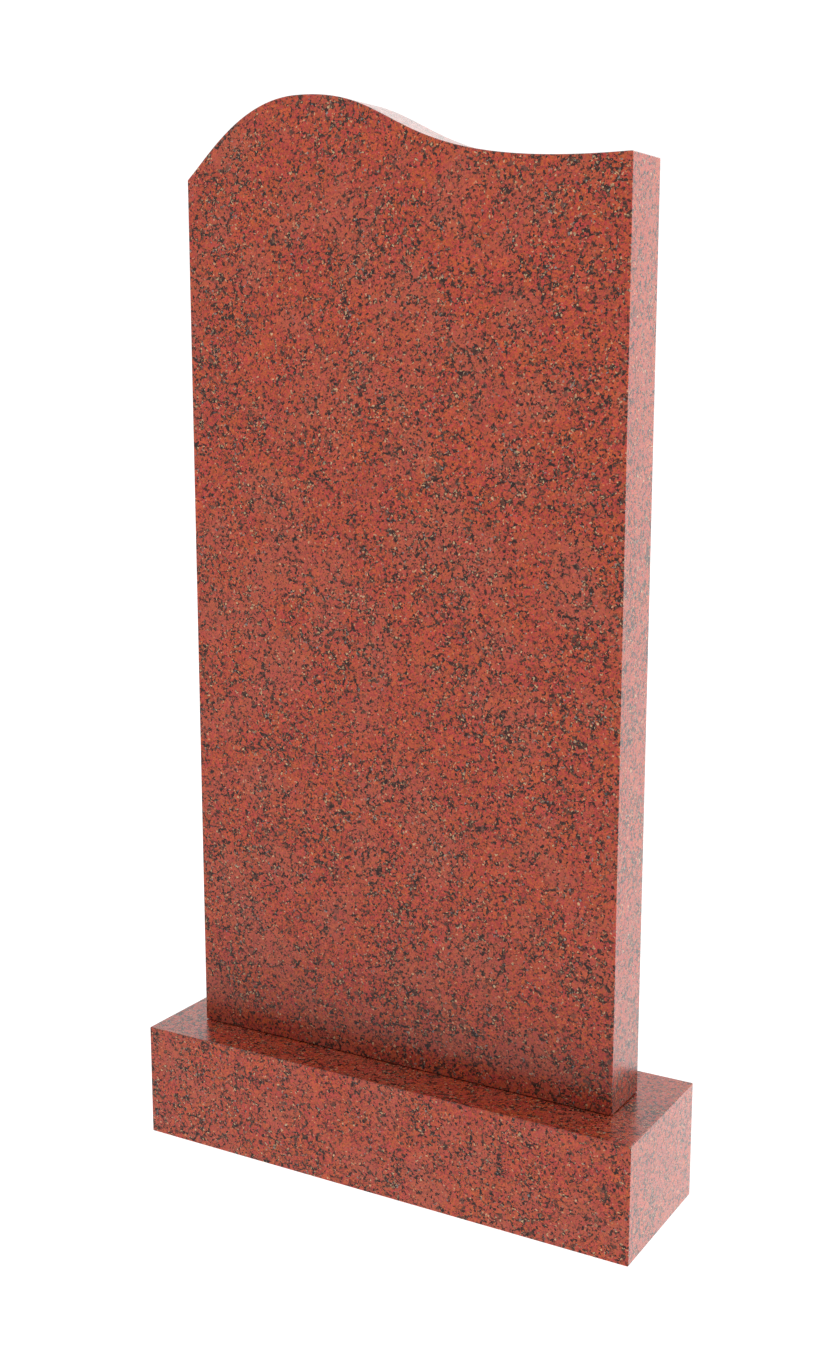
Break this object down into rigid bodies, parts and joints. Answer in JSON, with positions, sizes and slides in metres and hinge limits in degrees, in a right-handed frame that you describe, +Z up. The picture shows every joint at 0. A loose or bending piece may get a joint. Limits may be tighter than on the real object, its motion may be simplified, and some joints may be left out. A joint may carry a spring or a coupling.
{
  "type": "upright headstone",
  "caption": "Upright headstone of polished red granite: a flat slab with a wave-shaped top, standing on a plain rectangular plinth.",
  "frame": {"origin": "centre of the plinth's underside, on the ground", "axes": "+Z up along the slab's height, +Y through the slab from its front to its back, so the front faces -Y, and +X to the right of a person who faces the front"},
  "size_m": [0.7, 0.2, 1.3503],
  "materials": {
    "polished_granite": "polished"
  },
  "bodies": {
    "root": {"headstone_slab": "polished_granite", "plinth": "polished_granite"}
  },
  "joints": []
}
